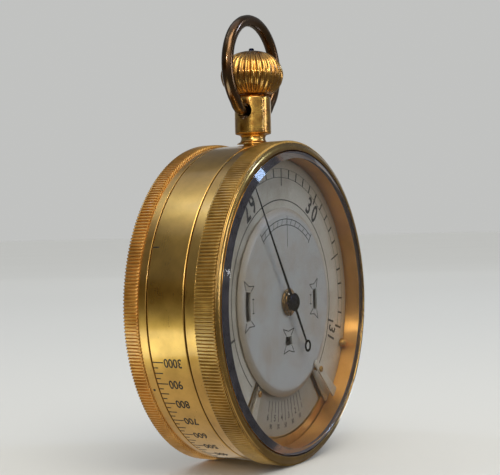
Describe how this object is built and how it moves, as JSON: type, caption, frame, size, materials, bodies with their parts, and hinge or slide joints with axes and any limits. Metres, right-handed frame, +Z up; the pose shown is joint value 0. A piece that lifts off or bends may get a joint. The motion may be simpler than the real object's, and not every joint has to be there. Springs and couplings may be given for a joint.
{
  "type": "ship barometer",
  "caption": "Pocket-form ship barometer: a round brass case with knurled rings, bow and crown, a bevelled glass, a silvered dial with a blued hand, and an aneroid movement.",
  "frame": {"origin": "under the lowest point of the rim, in the middle of the case's thickness", "axes": "+Z up through the pendant and crown, -Y the way the dial faces, +X to the right as the dial is read"},
  "size_m": [0.06, 0.0196, 0.0841],
  "materials": {
    "case_brass": "worn lacquered brass",
    "movement_brass": "turned brass",
    "bow_bronze": "dark bronzed brass",
    "silvered_dial": "matt silvered brass",
    "blued_steel": "blued",
    "steel": "satin",
    "nickel_silver": "satin",
    "dial_glass": "polished, bevelled edge"
  },
  "bodies": {
    "case": {"case_band": "case_brass", "pendant": "case_brass", "scale_plate": "silvered_dial", "centre_plate": "silvered_dial", "centre_bush": "movement_brass", "bush_nut": "movement_brass", "fixed_arm": "silvered_dial", "fixed_arm_screw": "movement_brass", "dial_screw_left": "movement_brass", "dial_screw_right": "movement_brass"},
    "front_ring": {"front_bezel": "case_brass", "glass": "dial_glass"},
    "back_ring": {"rear_bezel": "case_brass", "back_cover": "case_brass", "back_screw_1": "steel", "back_screw_2": "steel", "back_screw_3": "steel", "movement_base": "movement_brass", "aneroid_capsule": "nickel_silver", "spring_packing": "movement_brass", "adjusting_screw": "steel", "rocker_post_left": "movement_brass", "rocker_post_right": "movement_brass", "arbor_bridge": "movement_brass", "bridge_pillar_left": "movement_brass", "bridge_pillar_right": "movement_brass", "bridge_screw_left": "steel", "bridge_screw_right": "steel", "hairspring": "blued_steel", "hairspring_stud": "movement_brass"},
    "bow": {"bow": "bow_bronze"},
    "crown": {"crown": "case_brass", "crown_stem": "steel", "stem_collar": "steel", "crown_pinion": "steel"},
    "letter_disc": {"letter_disc": "silvered_dial", "contrate_ring": "movement_brass", "disc_rivet_1": "movement_brass", "disc_rivet_2": "movement_brass", "disc_rivet_3": "movement_brass", "moving_arm": "silvered_dial", "moving_arm_screw": "movement_brass"},
    "hand": {"hand": "blued_steel", "hand_collet": "blued_steel", "hand_arbor": "steel", "chain_drum": "movement_brass", "hairspring_collet": "movement_brass"},
    "lever": {"mainspring": "steel", "main_lever": "movement_brass", "knife_edge": "steel", "capsule_stud": "steel", "connecting_link": "steel"},
    "rocker": {"rocking_shaft": "steel", "balance_weight": "movement_brass"},
    "chain": {"chain": "steel"}
  },
  "joints": [
    {"name": "bow_swing", "type": "hinge", "parent": "case", "child": "bow", "pos_m": [0, 0, 0.0659], "axis": [1, 0, 0], "range_deg": [-115, 115]},
    {"name": "front_ring_turn", "type": "hinge", "parent": "case", "child": "front_ring", "pos_m": [0, -0.0055, 0.03], "axis": [0, 1, 0], "continuous": true},
    {"name": "back_ring_turn", "type": "hinge", "parent": "case", "child": "back_ring", "pos_m": [0, 0.0085, 0.03], "axis": [0, 1, 0], "range_deg": [-242.1, 10.7]},
    {"name": "letter_disc_turn", "type": "hinge", "parent": "case", "child": "letter_disc", "pos_m": [0, -0.0037, 0.03], "axis": [0, 1, 0], "range_deg": [-10, 4.5]},
    {"name": "crown_turn", "type": "hinge", "parent": "case", "child": "crown", "pos_m": [0, 0, 0.0732], "axis": [0, 0, 1], "range_deg": [-80, 36]},
    {"name": "hand_turn", "type": "hinge", "parent": "back_ring", "child": "hand", "pos_m": [0, -0.0066, 0.03], "axis": [0, 1, 0], "range_deg": [-73, 138]},
    {"name": "lever_tilt", "type": "hinge", "parent": "back_ring", "child": "lever", "pos_m": [0, 0.0039, 0.0495], "axis": [1, 0, 0], "range_deg": [-0.8, 1.5]},
    {"name": "rocker_turn", "type": "hinge", "parent": "back_ring", "child": "rocker", "pos_m": [0, 0.0041, 0.013], "axis": [1, 0, 0], "range_deg": [-30.5, 16.2]},
    {"name": "chain_run", "type": "slide", "parent": "back_ring", "child": "chain", "axis": [0, 0, 1], "range_m": [-0.00143, 0.0027]}
  ],
  "couplings": [
    {"joint": "crown_turn", "follows": "letter_disc_turn", "ratio": 8},
    {"joint": "lever_tilt", "follows": "hand_turn", "ratio": 0.01077},
    {"joint": "rocker_turn", "follows": "hand_turn", "ratio": -0.2205},
    {"joint": "chain_run", "follows": "hand_turn", "m_per_rad": 0.00112}
  ]
}
